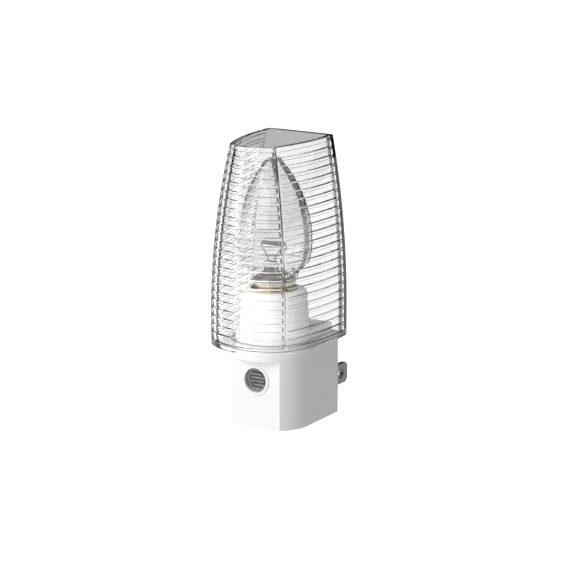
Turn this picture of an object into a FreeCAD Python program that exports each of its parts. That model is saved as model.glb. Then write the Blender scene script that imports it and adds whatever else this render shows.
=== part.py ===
import FreeCAD, Part
import math
import os
import Sketcher

# A plug-in night light: a white column that plugs into a wall outlet, a small
# screw-in lamp standing on it and a clear ribbed shade over the lamp.
# Millimetres, +Z up, +Y into the wall, +X to the viewer's right.
# The origin lies on the wall plane, midway between the two plug blades.

doc = FreeCAD.newDocument("night_light")
sheet = doc.addObject("Spreadsheet::Sheet", "Sizes")


class Size:
    """A length that carries both its number and its expression in the table of sizes."""

    def __init__(self, value, text):
        self.value = value
        self.text = text

    def __add__(self, other):
        other = as_size(other)
        return Size(self.value + other.value, f"({self.text} + {other.text})")

    def __radd__(self, other):
        return as_size(other) + self

    def __sub__(self, other):
        other = as_size(other)
        return Size(self.value - other.value, f"({self.text} - {other.text})")

    def __rsub__(self, other):
        return as_size(other) - self

    def __mul__(self, other):
        other = as_size(other)
        return Size(self.value * other.value, f"({self.text} * {other.text})")

    def __rmul__(self, other):
        return as_size(other) * self

    def __truediv__(self, other):
        other = as_size(other)
        return Size(self.value / other.value, f"({self.text} / {other.text})")

    def __neg__(self):
        return Size(-self.value, f"(0 - {self.text})")


def as_size(number):
    if isinstance(number, Size):
        return number
    return Size(float(number), f"{float(number)}")


def root(size):
    return Size(math.sqrt(size.value), f"sqrt({size.text})")


sheet_row = 0


def size(alias, value, note):
    """Adds one driving dimension to the table of sizes and returns it."""
    global sheet_row
    sheet_row += 1
    sheet.set(f"A{sheet_row}", note)
    sheet.set(f"B{sheet_row}", f"{value}")
    sheet.setAlias(f"B{sheet_row}", alias)
    return Size(float(value), f"Sizes.{alias}")


# Column
column_width = size("column_width", 25.5, "width of the white column")
column_straight = size("column_straight", 18.0, "depth of the straight sides")
facet_depth = size("facet_depth", 27.6, "wall plane to the flat front")
column_drop = size("column_drop", 8.4, "blade centre down to the underside")
seat_height = size("seat_height", 16.8, "blade centre up to the shade seat")
collar_height = size("collar_height", 3.8, "full round collar above the flat front")
housing_wall = size("housing_wall", 1.6, "wall of the column")
cover_thickness = size("cover_thickness", 2.0, "rear cover")
fit_gap = size("fit_gap", 0.1, "gap between fixed pieces that slip together")
neck_inset = size("neck_inset", 1.6, "step from the column in to its neck")
neck_height = size("neck_height", 3.7, "neck above the seat")

# Shade
shade_height = size("shade_height", 61.6, "seat to the top of the shade")
shade_straight = size("shade_straight", 9.4, "upright stretch above the seat")
shade_wall = size("shade_wall", 1.3, "wall of the shade")
shade_lid = size("shade_lid", 1.5, "lid of the shade")
shade_floor = size("shade_floor", 1.35, "inward rim at the foot of the shade")
shade_gap = size("shade_gap", 0.6, "wall plane to the back of the shade")
shade_fit = size("shade_fit", 0.3, "gap between the neck and the shade")
front_half = size("front_half", 13.1, "half the chord of the front panel at the foot")
front_depth = size("front_depth", 31.8, "wall plane to the front corners at the foot")
back_half = size("back_half", 16.4, "half the width of the back at the foot")
front_lean = size("front_lean", 5.2, "how far each front corner comes in at the top")
depth_lean = size("depth_lean", 2.9, "how far the front corners come back at the top")
back_lean = size("back_lean", 5.1, "how far each back corner comes in at the top")
front_bow = size("front_bow", 5.2, "bow of the front panel at the foot")
front_bow_top = size("front_bow_top", 3.8, "bow of the front panel at the top")
side_bow = size("side_bow", 1.7, "bow of the side panels")
groove_depth = size("groove_depth", 0.4, "depth of a groove between two ribs")
groove_width = size("groove_width", 1.65, "height of a groove")
groove_pitch = size("groove_pitch", 2.57, "groove to groove")
groove_top_margin = size("groove_top_margin", 1.4, "plain margin under the lid's edge")
groove_foot_margin = size("groove_foot_margin", 1.9, "plain margin above the seat")
groove_front_margin = size("groove_front_margin", 0.5, "plain strip beside a front corner")
groove_back_margin = size("groove_back_margin", 2.8, "plain strip beside a back corner")
groove_end_round = size("groove_end_round", 0.5, "round of a groove's ends")

# Lamp and socket
lamp_depth = size("lamp_depth", 17.1, "wall plane to the lamp's axis")
lamp_foot = size("lamp_foot", 2.0, "seat up to the tip of the lamp's contact")
lamp_contact_height = size("lamp_contact_height", 0.9, "solder tip")
lamp_contact_radius = size("lamp_contact_radius", 2.2, "solder tip")
lamp_insulator_height = size("lamp_insulator_height", 2.1, "black glass cone")
screw_radius = size("screw_radius", 5.95, "thread crest of the lamp's cap")
screw_depth = size("screw_depth", 0.45, "depth of the thread")
screw_pitch = size("screw_pitch", 2.54, "thread pitch, ten turns to the inch")
screw_gap = size("screw_gap", 0.3, "lamp thread to socket thread")
screw_metal = size("screw_metal", 0.35, "sheet brass of cap and socket shell")
cap_height = size("cap_height", 14.2, "brass cap")
bulb_radius = size("bulb_radius", 11.15, "widest radius of the glass")
bulb_widest = size("bulb_widest", 10.6, "cap top up to the widest glass")
bulb_length = size("bulb_length", 37.0, "cap top up to the glass tip")
bulb_side_radius = size("bulb_side_radius", 38.0, "long curve of the glass")
bulb_tip_radius = size("bulb_tip_radius", 2.6, "round of the glass tip")
bulb_belly_radius = size("bulb_belly_radius", 15.0, "lower curve of the glass")
bulb_belly_height = size("bulb_belly_height", 5.6, "widest glass down to the shoulder")
bulb_neck_radius = size("bulb_neck_radius", 6.9, "glass neck above the cap")
bulb_shoulder_height = size("bulb_shoulder_height", 2.0, "top of the neck")
glass_wall = size("glass_wall", 0.6, "wall of the glass")
stem_radius = size("stem_radius", 2.6, "glass stem flare")
stem_height = size("stem_height", 5.2, "glass stem above the cap")
filament_height = size("filament_height", 10.8, "cap top up to the filament")
filament_half = size("filament_half", 3.6, "half the filament's span")
filament_turns = 16
filament_coil_radius = size("filament_coil_radius", 0.5, "coil of the filament")
filament_wire = size("filament_wire", 0.22, "thickness of the filament coil's wire")
support_wire = size("support_wire", 0.5, "lead wire thickness")
support_upright = size("support_upright", 1.2, "upright end of a lead wire")
support_bend = size("support_bend", 0.8, "bend of a lead wire")

sleeve_radius_foot = size("sleeve_radius_foot", 10.4, "socket sleeve at the deck")
sleeve_radius_top = size("sleeve_radius_top", 9.6, "socket sleeve at the mouth")
sleeve_height = size("sleeve_height", 12.4, "socket sleeve above the neck")
sleeve_round = size("sleeve_round", 1.6, "round of the sleeve's mouth")
shell_height = size("shell_height", 11.0, "threaded socket shell")
socket_floor = size("socket_floor", 1.6, "insulating floor of the socket")
socket_wall = size("socket_wall", 1.2, "wall of the insulating cup")
shell_fit = size("shell_fit", 0.15, "gap around the threaded shell")
shell_rise = size("shell_rise", 0.4, "foot of the lamp's cap up to the threaded shell")
tail_hole = size("tail_hole", 1.2, "radius of the hole for the contact's tail")
tail_reach = size("tail_reach", 2.0, "contact's tail below the socket's floor")
contact_thickness = size("contact_thickness", 0.5, "sheet metal contacts")
contact_gap = size("contact_gap", 0.05, "contact to the lamp's tip")

# Plug blades
blade_spacing = size("blade_spacing", 12.7, "blade to blade")
blade_thickness = size("blade_thickness", 1.5, "blade")
blade_length = size("blade_length", 15.9, "blade in front of the wall plane")
blade_hot_width = size("blade_hot_width", 6.35, "narrow blade")
blade_neutral_width = size("blade_neutral_width", 7.94, "wide blade")
blade_hole = size("blade_hole", 3.2, "hole in each blade")
blade_hole_inset = size("blade_hole_inset", 4.0, "blade tip to the hole's centre")
blade_corner = size("blade_corner", 1.1, "cut corner of the blade tip")
blade_tail = size("blade_tail", 4.0, "blade behind the rear cover")

# Light sensor
sensor_height = size("sensor_height", 6.4, "blade centre up to the sensor")
sensor_hole = size("sensor_hole", 3.8, "radius of the sensor's opening")
bezel_radius = size("bezel_radius", 4.7, "outer radius of the bezel")
bezel_proud = size("bezel_proud", 0.35, "bezel in front of the flat")
window_recess = size("window_recess", 0.5, "window behind the flat")
window_thickness = size("window_thickness", 0.9, "window")
sensor_thickness = size("sensor_thickness", 2.2, "sensor body")
sensor_guide = size("sensor_guide", 1.0, "wall of the tube that holds the sensor")
guide_overrun = size("guide_overrun", 1.6, "tube beyond the sensor's back")
track_width = size("track_width", 0.45, "sensor's conductive track")
track_proud = size("track_proud", 0.12, "track on the sensor's face")
lead_wire = size("lead_wire", 0.6, "component lead thickness")
lead_spacing = size("lead_spacing", 3.4, "between the sensor's leads")

# Circuit board and its parts
board_depth = size("board_depth", 13.0, "wall plane to the board's back face")
board_thickness = size("board_thickness", 1.6, "board")
board_width = size("board_width", 18.0, "board")
board_height = size("board_height", 17.0, "board")
rail_width = size("rail_width", 1.4, "guide rail beside the board")
thyristor_width = size("thyristor_width", 4.6, "thyristor body")
thyristor_side = size("thyristor_side", -5.6, "thyristor across the board")
thyristor_rise = size("thyristor_rise", 1.2, "foot of the board up to the thyristor")
thyristor_stand = size("thyristor_stand", 3.6, "board to the thyristor's axis")
leg_pitch = size("leg_pitch", 1.27, "thyristor leg to leg")
resistor_radius = size("resistor_radius", 1.2, "resistor body")
resistor_length = size("resistor_length", 6.3, "resistor body")
resistor_side = size("resistor_side", 3.2, "resistors across the board")
resistor_low = size("resistor_low", 2.4, "foot of the board up to the lower resistor")
resistor_high = size("resistor_high", 5.8, "foot of the board up to the upper resistor")
diode_radius = size("diode_radius", 1.35, "diode body")
diode_length = size("diode_length", 5.0, "diode body")
diode_side = size("diode_side", -3.6, "diode across the board")
diode_drop = size("diode_drop", 6.6, "top of the board down to the diode")
capacitor_radius = size("capacitor_radius", 2.6, "disc capacitor")
capacitor_thickness = size("capacitor_thickness", 1.8, "disc capacitor")
capacitor_side = size("capacitor_side", 4.6, "capacitor across the board")
capacitor_drop = size("capacitor_drop", 3.6, "top of the board down to the capacitor")
capacitor_stand = size("capacitor_stand", 1.0, "board to the capacitor")
wire_radius = size("wire_radius", 0.7, "insulated hookup wire")
blade_wire_run = size("blade_wire_run", 3.2, "blade wire behind the blade")
blade_wire_drop = size("blade_wire_drop", 3.4, "blade wire down to the board's joint")
blade_wire_bend = size("blade_wire_bend", 1.4, "bend of a blade wire")
lamp_wire_drop = size("lamp_wire_drop", 4.0, "lamp wire below the contact's tail")
lamp_wire_bend = size("lamp_wire_bend", 1.1, "bend of the lamp wire")

# Screws
screw_head_radius = size("screw_head_radius", 1.9, "cover screw head")
screw_shank_radius = size("screw_shank_radius", 0.95, "cover screw shank")
screw_length = size("screw_length", 7.0, "cover screw below its head")
screw_end_gap = size("screw_end_gap", 0.5, "boss beyond the screw's tip")
boss_radius = size("boss_radius", 2.3, "screw boss in the housing")
screw_rise = size("screw_rise", 11.4, "blade centre up to the upper screw")
screw_fall = size("screw_fall", 4.2, "blade centre down to the lower screw")

column_half = column_width / 2
seat = seat_height
neck_top = seat_height + neck_height
neck_back = shade_gap + shade_wall + shade_fit
underside = -column_drop
lamp_tip_height = seat_height + lamp_foot
cap_foot = lamp_tip_height + lamp_contact_height + lamp_insulator_height
cap_top = cap_foot + cap_height
thread_root = screw_radius - screw_depth
front_inside = facet_depth - housing_wall
board_front = board_depth + board_thickness


# Helpers that tie shapes to the table of sizes

def bind(feature, name, value):
    feature.setExpression(name, as_size(value).text)


def place(feature, x=0, y=0, z=0, axis=None, angle=0.0):
    """Turns a feature about an axis and ties its position to the table of sizes."""
    turn = FreeCAD.Rotation()
    if axis is not None:
        turn = FreeCAD.Rotation(FreeCAD.Vector(*axis), angle)
    start = FreeCAD.Vector(as_size(x).value, as_size(y).value, as_size(z).value)
    feature.Placement = FreeCAD.Placement(start, turn)
    for letter, value in (("x", x), ("y", y), ("z", z)):
        bind(feature, f"Placement.Base.{letter}", value)
    return feature


def block(name, low, high):
    """A box between two corners given as sizes."""
    feature = doc.addObject("Part::Box", name)
    for side, first, last in zip(("Length", "Width", "Height"), low, high):
        bind(feature, side, as_size(last) - first)
    return place(feature, *low)


def rod(name, radius, length, x, y, z, along="z"):
    """A cylinder that starts at x, y, z and runs along +x, -y, +y or +z."""
    turns = {"z": (None, 0.0), "x": ((0, 1, 0), 90.0), "-y": ((1, 0, 0), 90.0), "y": ((1, 0, 0), -90.0)}
    feature = doc.addObject("Part::Cylinder", name)
    bind(feature, "Radius", radius)
    bind(feature, "Height", length)
    axis, angle = turns[along]
    return place(feature, x, y, z, axis, angle)


def joined(name, pieces):
    feature = doc.addObject("Part::MultiFuse", name)
    feature.Shapes = pieces
    feature.Refine = True
    return feature


def cut(name, base, tool):
    feature = doc.addObject("Part::Cut", name)
    feature.Base = base
    feature.Tool = tool
    feature.Refine = True
    return feature


def origin_plane(body, role):
    return next(item for item in body.Origin.OriginFeatures if item.Role == role)


def arc_geometry(start, end, radius):
    """The arc from start to end; a positive radius turns anticlockwise."""
    chord = end - start
    middle = (start + end) * 0.5
    reach = math.sqrt(max(radius * radius - chord.Length ** 2 / 4, 0.0))
    side = FreeCAD.Vector(-chord.y, chord.x, 0).normalize()
    centre = middle + side * (reach if radius > 0 else -reach)
    first, last = (start, end) if radius > 0 else (end, start)
    angles = [math.atan2(point.y - centre.y, point.x - centre.x) for point in (first, last)]
    circle = Part.Circle(centre, FreeCAD.Vector(0, 0, 1), abs(radius))
    return Part.ArcOfCircle(circle, angles[0], angles[1])


def outline_sketch(body, name, role, outline):
    """A closed outline of lines and arcs whose every corner is tied to the table of sizes.

    Each corner is (x, y) or (x, y, radius), where radius is that of the arc which
    leads to the next corner and is positive when the arc turns anticlockwise.
    """
    sketch = body.newObject("Sketcher::SketchObject", name)
    sketch.AttachmentSupport = [(origin_plane(body, role), "")]
    sketch.MapMode = "FlatFace"
    corners = [FreeCAD.Vector(as_size(c[0]).value, as_size(c[1]).value, 0) for c in outline]
    starts = []
    ends = []
    for index, corner in enumerate(outline):
        start = corners[index]
        end = corners[(index + 1) % len(corners)]
        if len(corner) == 3:
            turn = as_size(corner[2]).value
            sketch.addGeometry(arc_geometry(start, end, turn), False)
            starts.append(1 if turn > 0 else 2)
            ends.append(2 if turn > 0 else 1)
        else:
            sketch.addGeometry(Part.LineSegment(start, end), False)
            starts.append(1)
            ends.append(2)
    for index in range(len(outline)):
        following = (index + 1) % len(outline)
        sketch.addConstraint(Sketcher.Constraint("Coincident", index, ends[index], following, starts[following]))
    for index, corner in enumerate(outline):
        for kind, value in (("DistanceX", corner[0]), ("DistanceY", corner[1])):
            value = as_size(value)
            number = sketch.addConstraint(
                Sketcher.Constraint(kind, -1, 1, index, starts[index], value.value))
            sketch.setExpression(f"Constraints[{number}]", value.text)
        if len(corner) == 3:
            turn = as_size(corner[2])
            turn = turn if turn.value > 0 else -turn
            number = sketch.addConstraint(Sketcher.Constraint("Radius", index, turn.value))
            sketch.setExpression(f"Constraints[{number}]", turn.text)
    return sketch


def turned(name, outline, y=0, z=0, role="XZ_Plane", axis="V_Axis"):
    """A body turned about its own upright axis from a half outline."""
    body = doc.addObject("PartDesign::Body", name)
    sketch = outline_sketch(body, f"{name}_outline", role, outline)
    revolution = body.newObject("PartDesign::Revolution", f"{name}_turned")
    revolution.Profile = (sketch, [""])
    revolution.ReferenceAxis = (sketch, [axis])
    revolution.Angle = 360.0
    body.Tip = revolution
    return place(body, 0, y, z)


def padded(name, outline, role, height, x=0, y=0, z=0, reverse=False):
    """A body padded from an outline on one of its origin planes."""
    body = doc.addObject("PartDesign::Body", name)
    sketch = outline_sketch(body, f"{name}_outline", role, outline)
    pad = body.newObject("PartDesign::Pad", f"{name}_pad")
    pad.Profile = (sketch, [""])
    pad.Reversed = reverse
    pad.Length = as_size(height).value
    bind(pad, "Length", height)
    body.Tip = pad
    return place(body, x, y, z)


def wire_path(points, radius):
    """A path of straight runs joined by tangent arcs."""
    edges = []
    start = points[0]
    for before, corner, after in zip(points, points[1:], points[2:]):
        incoming = (corner - before).normalize()
        outgoing = (after - corner).normalize()
        half_turn = incoming.getAngle(outgoing) / 2
        reach = radius * math.tan(half_turn)
        first = corner - incoming * reach
        last = corner + outgoing * reach
        bisector = (outgoing - incoming).normalize()
        middle = corner + bisector * (radius / math.cos(half_turn) - radius)
        edges.append(Part.LineSegment(start, first).toShape())
        edges.append(Part.Arc(first, middle, last).toShape())
        start = last
    edges.append(Part.LineSegment(start, points[-1]).toShape())
    return Part.Wire(edges)


def tube(points, wire, bend):
    """A round wire swept along straight runs and tangent bends."""
    corners = [FreeCAD.Vector(*(as_size(value).value for value in point)) for point in points]
    path = wire_path(corners, as_size(bend).value)
    ring = Part.Wire([Part.Circle(corners[0], corners[1] - corners[0], as_size(wire).value).toShape()])
    return path.makePipeShell([ring], True, False)


def formed(name, shape):
    feature = doc.addObject("Part::Feature", name)
    feature.Shape = shape
    return feature


# Column

def column_block(name, half, straight, back, low, high):
    """A block with straight sides and a half round front."""
    sides = block(f"{name}_sides", (-half, -straight, low), (half, -back, high))
    front = rod(f"{name}_front", half, high - low, 0, -straight, low)
    return joined(name, [sides, front])


def facet_cutter(name, depth, low, high, half, reach):
    return block(name, (-half, -reach, low), (half, -depth, high))


def base_housing():
    reach = column_straight + column_half + 1
    clear = column_half + 1
    inner_half = column_half - housing_wall
    collar_foot = seat - collar_height
    outside = column_block("column", column_half, column_straight, as_size(0), underside, seat)
    facet = facet_cutter("column_facet", facet_depth, underside - 1, collar_foot, clear, reach)
    outside = cut("column_faceted", outside, facet)
    neck = column_block("neck", column_half - neck_inset, column_straight, neck_back, seat - 1, neck_top)
    inside = column_block("cavity", inner_half, column_straight, as_size(-1),
                          underside + housing_wall, seat - housing_wall)
    inner_facet = facet_cutter("cavity_facet", front_inside, underside - 1, seat, clear, reach)
    inside = cut("cavity_faceted", inside, inner_facet)
    well = rod("socket_well", socket_flange_radius, neck_height + housing_wall + 1, 0, -lamp_depth,
               seat - housing_wall)
    opening = rod("sensor_opening", sensor_hole, housing_wall + 2, 0, -(front_inside - 1), sensor_height, "-y")
    solid = joined("column_with_neck", [outside, neck])
    hollow = cut("column_hollow", solid, joined("column_spaces", [inside, well, opening]))
    guide = cut("sensor_tube",
                rod("sensor_tube_outside", sensor_hole + sensor_guide, sensor_tube_length, 0,
                    -(front_inside - sensor_tube_length), sensor_height, "-y"),
                rod("sensor_tube_bore", sensor_hole, sensor_tube_length, 0,
                    -(front_inside - sensor_tube_length), sensor_height, "-y"))
    pieces = [hollow, guide]
    pieces += board_rails(inner_half)
    pieces += screw_bosses()
    return joined("base_housing", pieces)


def board_rails(inner_half):
    """Two grooved rails on the side walls that hold the board's edges."""
    low = underside + housing_wall
    high = low + board_height
    rails = []
    for label, side in (("left", -1), ("right", 1)):
        outer = side * inner_half
        inner = side * (board_width / 2 - rail_width)
        first, last = (outer, inner) if side < 0 else (inner, outer)
        whole = block(f"rail_{label}", (first, -(board_front + rail_width), low),
                      (last, -(board_depth - rail_width), high))
        edge = side * (board_width / 2 + fit_gap)
        first, last = (edge, inner) if side < 0 else (inner, edge)
        groove = block(f"rail_{label}_groove", (first, -(board_front + fit_gap), low),
                       (last, -(board_depth - fit_gap), high))
        rails.append(cut(f"rail_{label}_grooved", whole, groove))
    return rails


def screw_bosses():
    """Bosses that stand between the rear cover and the circuit board's plane."""
    bosses = []
    for label, height, wall_side in (("upper", screw_rise, 1), ("lower", -screw_fall, -1)):
        length = boss_length
        start = -(cover_thickness + fit_gap)
        outside = rod(f"boss_{label}", boss_radius, length, 0, start, height, "-y")
        if wall_side > 0:
            low, high = height, seat - housing_wall
        else:
            low, high = underside + housing_wall, height
        web = block(f"boss_{label}_web", (-boss_radius, start - length, low), (boss_radius, start, high))
        bore = rod(f"boss_{label}_bore", screw_shank_radius, length, 0, start, height, "-y")
        bosses.append(cut(f"boss_{label}_bored", joined(f"boss_{label}_solid", [outside, web]), bore))
    return bosses


def rear_cover():
    """A flat plate that closes the column's open back and carries the blades."""
    half = column_half - housing_wall - fit_gap
    plate = block("cover_plate", (-half, -cover_thickness, underside + housing_wall + fit_gap),
                  (half, 0, seat - housing_wall - fit_gap))
    holes = []
    for label, side, width in blades():
        centre = side * blade_spacing / 2
        holes.append(block(f"cover_slot_{label}",
                           (centre - blade_thickness / 2, -(cover_thickness + 1), -width / 2),
                           (centre + blade_thickness / 2, 1, width / 2)))
    for label, height in screws():
        holes.append(rod(f"cover_hole_{label}", screw_shank_radius + fit_gap, cover_thickness + 2, 0, 1,
                         height, "-y"))
        holes.append(rod(f"cover_sink_{label}", screw_head_radius + fit_gap, cover_thickness / 2 + 1, 0, 1,
                         height, "-y"))
    return cut("rear_cover", plate, joined("cover_holes", holes))


def screws():
    return (("upper", screw_rise), ("lower", -screw_fall))


def cover_screws():
    """Two pan head screws that hold the rear cover to the bosses."""
    pieces = []
    slot = screw_head_radius / 3
    for label, height in screws():
        head = rod(f"screw_head_{label}", screw_head_radius, cover_thickness / 2 - fit_gap, 0, -fit_gap,
                   height, "-y")
        shank = rod(f"screw_shank_{label}", screw_shank_radius, screw_length, 0, -cover_thickness / 2,
                    height, "-y")
        across = block(f"screw_cross_{label}", (-slot * 2, -cover_thickness / 4, height - slot / 2),
                       (slot * 2, 0, height + slot / 2))
        upright = block(f"screw_cross_up_{label}", (-slot / 2, -cover_thickness / 4, height - slot * 2),
                        (slot / 2, 0, height + slot * 2))
        screw = joined(f"screw_{label}", [head, shank])
        pieces.append(cut(f"screw_{label}_driven", screw, joined(f"screw_recess_{label}", [across, upright])))
    group = doc.addObject("Part::Compound", "cover_screws")
    group.Links = pieces
    return group


# Plug blades

def blades():
    return (("hot", 1, blade_hot_width), ("neutral", -1, blade_neutral_width))


def plug_blade(label, side, width):
    """A flat blade with cut corners, a hole near its tip and a tail behind the cover."""
    half = width / 2
    tail = cover_thickness + blade_tail
    corner = blade_corner
    outline = [
        (-tail, -half),
        (blade_length - corner, -half),
        (blade_length, -half + corner),
        (blade_length, half - corner),
        (blade_length - corner, half),
        (-tail, half),
    ]
    body = padded(f"blade_{label}", outline, "YZ_Plane", blade_thickness,
                  x=side * blade_spacing / 2 - blade_thickness / 2)
    sketch = body.newObject("Sketcher::SketchObject", f"blade_{label}_hole_outline")
    sketch.AttachmentSupport = [(origin_plane(body, "YZ_Plane"), "")]
    sketch.MapMode = "FlatFace"
    centre = blade_length - blade_hole_inset
    circle = Part.Circle(FreeCAD.Vector(centre.value, 0, 0), FreeCAD.Vector(0, 0, 1), blade_hole.value / 2)
    sketch.addGeometry(circle, False)
    number = sketch.addConstraint(Sketcher.Constraint("DistanceX", -1, 1, 0, 3, centre.value))
    sketch.setExpression(f"Constraints[{number}]", centre.text)
    sketch.addConstraint(Sketcher.Constraint("PointOnObject", 0, 3, -1))
    number = sketch.addConstraint(Sketcher.Constraint("Diameter", 0, blade_hole.value))
    sketch.setExpression(f"Constraints[{number}]", blade_hole.text)
    pocket = body.newObject("PartDesign::Pocket", f"blade_{label}_hole")
    pocket.Profile = (sketch, [""])
    pocket.Type = "ThroughAll"
    pocket.Midplane = True
    body.Tip = pocket
    return body


# Light sensor

sensor_face = facet_depth - window_recess - window_thickness
sensor_tube_length = sensor_thickness + window_thickness + window_recess + guide_overrun - housing_wall
boss_length = screw_length + screw_end_gap


def photocell_bezel():
    """A thin ring seated on the flat around the sensor's opening."""
    proud = bezel_proud
    outline = [
        (sensor_hole, 0),
        (bezel_radius, 0),
        (bezel_radius - proud / 2, proud),
        (sensor_hole, proud),
    ]
    body = turned("photocell_bezel", outline)
    place(body, 0, -facet_depth, sensor_height, (1, 0, 0), 90.0)
    return body


def photocell_window():
    """A clear lens, slightly crowned, just inside the opening."""
    radius = sensor_hole - fit_gap
    crown = window_recess * 0.6
    dome = (radius * radius + crown * crown) / (2 * crown)
    outline = [
        (0, 0),
        (radius, 0),
        (radius, window_thickness, dome),
        (0, window_thickness + crown),
    ]
    body = turned("photocell_window", outline)
    place(body, 0, -sensor_face, sensor_height, (1, 0, 0), 90.0)
    return body


def photocell_body():
    return rod("photocell_body", sensor_hole - fit_gap, sensor_thickness, 0,
               -(sensor_face - track_proud - sensor_thickness), sensor_height, "-y")


def photocell_track():
    """The serpentine that snakes over the sensor's face in five level runs."""
    runs = 5
    face = sensor_face.value
    proud = track_proud.value
    width = track_width.value
    reach = sensor_hole.value - fit_gap.value - width
    step = 2 * reach / (runs + 1)
    strips = []
    ends = []
    for index in range(runs):
        level = sensor_height.value + reach - step * (index + 1)
        half = math.sqrt(reach ** 2 - (level - sensor_height.value) ** 2) - width
        ends.append((half, level))
        strips.append(Part.makeBox(2 * half, proud, width, FreeCAD.Vector(-half, -face, level - width / 2)))
    for index in range(runs - 1):
        side = 1 if index % 2 == 0 else -1
        half = min(ends[index][0], ends[index + 1][0])
        left = side * half - (width if side > 0 else 0)
        corner = FreeCAD.Vector(left, -face, ends[index + 1][1] - width / 2)
        strips.append(Part.makeBox(width, proud, step + width, corner))
    return formed("photocell_track", strips[0].multiFuse(strips[1:]).removeSplitter())


def photocell_leads():
    """Two straight leads from the sensor back to the board."""
    start = sensor_face - track_proud - sensor_thickness
    pieces = [rod(f"photocell_lead_{label}", lead_wire / 2, start - board_front, side * lead_spacing / 2,
                  -board_front, sensor_height, "-y")
              for label, side in (("left", -1), ("right", 1))]
    group = doc.addObject("Part::Compound", "photocell_leads")
    group.Links = pieces
    return group


# Circuit board and its parts

board_low = underside + housing_wall


def circuit_board():
    half = board_width / 2
    outline = [
        (-half, 0),
        (half, 0),
        (half, board_height),
        (-half, board_height),
    ]
    return padded("circuit_board", outline, "XZ_Plane", board_thickness, y=-board_depth, z=board_low)


def thyristor():
    """A small plastic package with a flat face, standing off the board on its leads."""
    radius = thyristor_width / 2
    side = thyristor_side
    low = board_low + thyristor_rise
    depth = -(board_front + thyristor_stand)
    flat = depth - radius * 0.55
    body = cut("thyristor_round", rod("thyristor_cylinder", radius, thyristor_width, side, depth, low),
               block("thyristor_flat", (side - radius, depth - radius - 1, low - 1),
                     (side + radius, flat, low + thyristor_width + 1)))
    legs = [rod(f"thyristor_leg_{index}", lead_wire / 2, thyristor_stand, side + (index - 1) * leg_pitch,
                -board_front, low + thyristor_width / 2, "-y") for index in range(3)]
    return joined("thyristor", [body] + legs)


def axial_part(radius, length, x, z):
    """A round body lying on the board with a bent lead at each end."""
    depth = -(board_front + radius)
    bend = lead_wire
    body = Part.makeCylinder(radius.value, length.value,
                             FreeCAD.Vector((x - length / 2).value, depth.value, z.value),
                             FreeCAD.Vector(1, 0, 0))
    leads = []
    for side in (-1, 1):
        end = x + side * length / 2
        corner = end + side * (bend + lead_wire / 2)
        points = [(end, depth, z), (corner, depth, z), (corner, -board_front, z)]
        leads.append(tube(points, lead_wire / 2, bend))
    return body.fuse(leads)


def resistors():
    levels = (board_low + resistor_low, board_low + resistor_high)
    pieces = [axial_part(resistor_radius, resistor_length, resistor_side, level) for level in levels]
    return formed("resistors", Part.makeCompound(pieces))


def diode():
    level = board_low + board_height - diode_drop
    return formed("diode", axial_part(diode_radius, diode_length, diode_side, level))


def capacitor():
    """A disc capacitor standing on two leads."""
    level = board_low + board_height - capacitor_drop
    disc = rod("capacitor_disc", capacitor_radius, capacitor_thickness, capacitor_side,
               -(board_front + capacitor_stand), level, "-y")
    leg = capacitor_stand * 1.2
    legs = [rod(f"capacitor_leg_{label}", lead_wire / 2, leg, capacitor_side + side * capacitor_radius / 2,
                -board_front, level, "-y") for label, side in (("left", -1), ("right", 1))]
    return joined("capacitor", [disc] + legs)


# Socket

sleeve_bore = screw_radius + screw_gap + screw_metal + shell_fit
socket_flange_radius = sleeve_bore + socket_wall
socket_foot = cap_foot + shell_rise


def ring_thread(foot, top, crest, depth, pitch, count):
    """Outline corners of a wavy thread as rings, from foot to top."""
    corners = []
    gap = (top - foot - count * pitch) / 2
    for index in range(count):
        level = foot + gap + index * pitch
        corners.append((crest - depth, level))
        corners.append((crest, level + pitch / 4))
        corners.append((crest, level + pitch / 2))
        corners.append((crest - depth, level + pitch * 0.75))
    return corners


def socket_sleeve():
    """The white sleeve that stands on the neck around the threaded shell."""
    top = neck_top + sleeve_height
    outline = [
        (sleeve_bore, neck_top),
        (sleeve_radius_foot, neck_top),
        (sleeve_radius_top, top - sleeve_round, sleeve_round),
        (sleeve_radius_top - sleeve_round, top),
        (sleeve_bore, top),
    ]
    return turned("socket_sleeve", outline, y=-lamp_depth)


thread_count = 3


def socket_shell():
    """Sheet brass shell whose wavy wall takes the lamp's thread."""
    foot = socket_foot
    top = foot + shell_height
    wave = ring_thread(foot, top, screw_radius + screw_gap, screw_depth, screw_pitch, thread_count)
    outline = [(sleeve_bore, foot), (sleeve_bore, top), (thread_root + screw_gap, top)]
    outline += reversed(wave)
    outline += [(thread_root + screw_gap, foot)]
    return turned("socket_shell", outline, y=-lamp_depth)


def socket_insulator():
    """A cup that closes the well under the lamp and carries the contact."""
    outer = socket_flange_radius - fit_gap
    inner = sleeve_bore
    low = seat - housing_wall
    floor_top = low + socket_floor
    outline = [
        (tail_hole, low),
        (outer, low),
        (outer, neck_top),
        (inner, neck_top),
        (inner, socket_foot),
        (inner - socket_wall, socket_foot),
        (inner - socket_wall, floor_top),
        (tail_hole, floor_top),
    ]
    return turned("socket_insulator", outline, y=-lamp_depth)


def socket_contact():
    """A leaf of sprung brass that presses on the lamp's tip, with a tail through the floor."""
    low = seat - housing_wall + socket_floor
    top = lamp_tip_height - contact_gap
    half = contact_thickness * 3
    foot = block("contact_foot", (-half, -lamp_depth - half, low),
                 (half, -lamp_depth + half, low + contact_thickness))
    riser = block("contact_riser", (-half, -lamp_depth - half, low),
                  (half, -lamp_depth - half + contact_thickness, top))
    leaf = block("contact_leaf", (-half, -lamp_depth - half, top - contact_thickness),
                 (half, -lamp_depth + half, top))
    tail = rod("contact_tail", contact_thickness, socket_floor + tail_reach, 0, -lamp_depth,
               low - socket_floor - tail_reach)
    return joined("socket_contact", [foot, riser, leaf, tail])


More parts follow.
